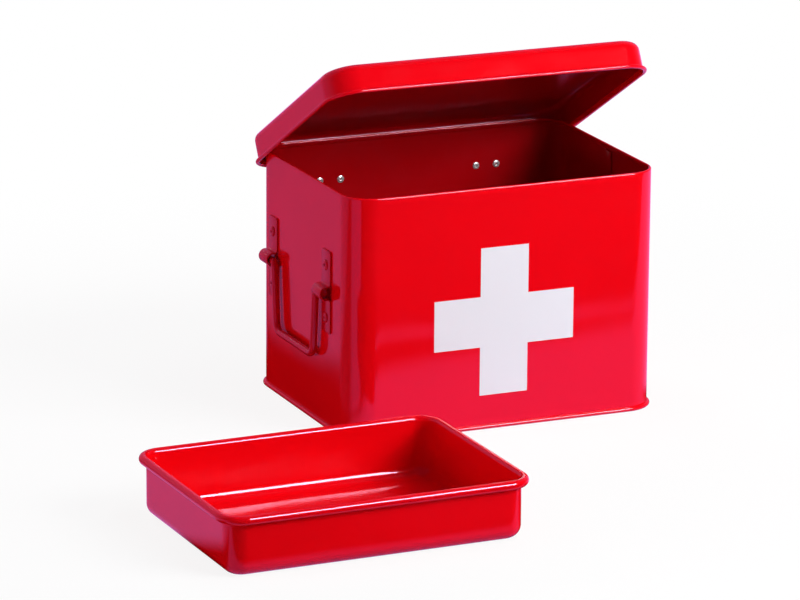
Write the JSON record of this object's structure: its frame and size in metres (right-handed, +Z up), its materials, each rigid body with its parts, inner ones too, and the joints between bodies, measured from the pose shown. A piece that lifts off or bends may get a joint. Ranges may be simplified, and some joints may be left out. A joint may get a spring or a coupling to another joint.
{
  "type": "first-aid box",
  "caption": "Red sheet-steel storage box with a rear-hinged lid, a cross on the front, bail handles on its end walls and a loose lift-out tray.",
  "frame": {"origin": "middle of the base panel's underside, on the floor", "axes": "-Y out of the front with the cross, +X to the right seen from the front, +Z up"},
  "size_m": [0.408, 0.4023, 0.2436],
  "materials": {
    "red_paint": "gloss red stoving enamel on steel sheet",
    "white_print": "satin off-white print over the red paint",
    "bare_steel": "bare zinc-plated steel"
  },
  "bodies": {
    "box": {"body_shell": "red_paint", "base_pan": "red_paint", "front_cross": "white_print", "left_front_bracket": "red_paint", "left_rear_bracket": "red_paint", "right_front_bracket": "red_paint", "right_rear_bracket": "red_paint", "left_bracket_rivets": "red_paint", "right_bracket_rivets": "red_paint", "left_hinge_body_leaf": "red_paint", "right_hinge_body_leaf": "red_paint", "left_hinge_pin": "bare_steel", "right_hinge_pin": "bare_steel", "hinge_body_rivets": "bare_steel"},
    "lid": {"lid_shell": "red_paint", "left_hinge_lid_leaf": "red_paint", "right_hinge_lid_leaf": "red_paint", "hinge_lid_rivets": "bare_steel"},
    "left_handle": {"left_handle": "red_paint"},
    "right_handle": {"right_handle": "red_paint"},
    "tray": {"tray": "red_paint"}
  },
  "joints": [
    {"name": "lid_hinge", "type": "hinge", "parent": "box", "child": "lid", "pos_m": [0, 0.0853, 0.1422], "axis": [-1, 0, 0], "range_deg": [-29.6, 80]},
    {"name": "left_handle_swing", "type": "hinge", "parent": "box", "child": "left_handle", "pos_m": [-0.1139, 0.0053, 0.0922], "axis": [0, 1, 0], "range_deg": [0, 180]},
    {"name": "right_handle_swing", "type": "hinge", "parent": "box", "child": "right_handle", "pos_m": [0.1139, 0.0053, 0.0922], "axis": [0, -1, 0], "range_deg": [0, 180]},
    {"name": "tray_lift", "type": "slide", "parent": "box", "child": "tray", "axis": [0, 0, 1], "range_m": [0, 0.25]}
  ]
}
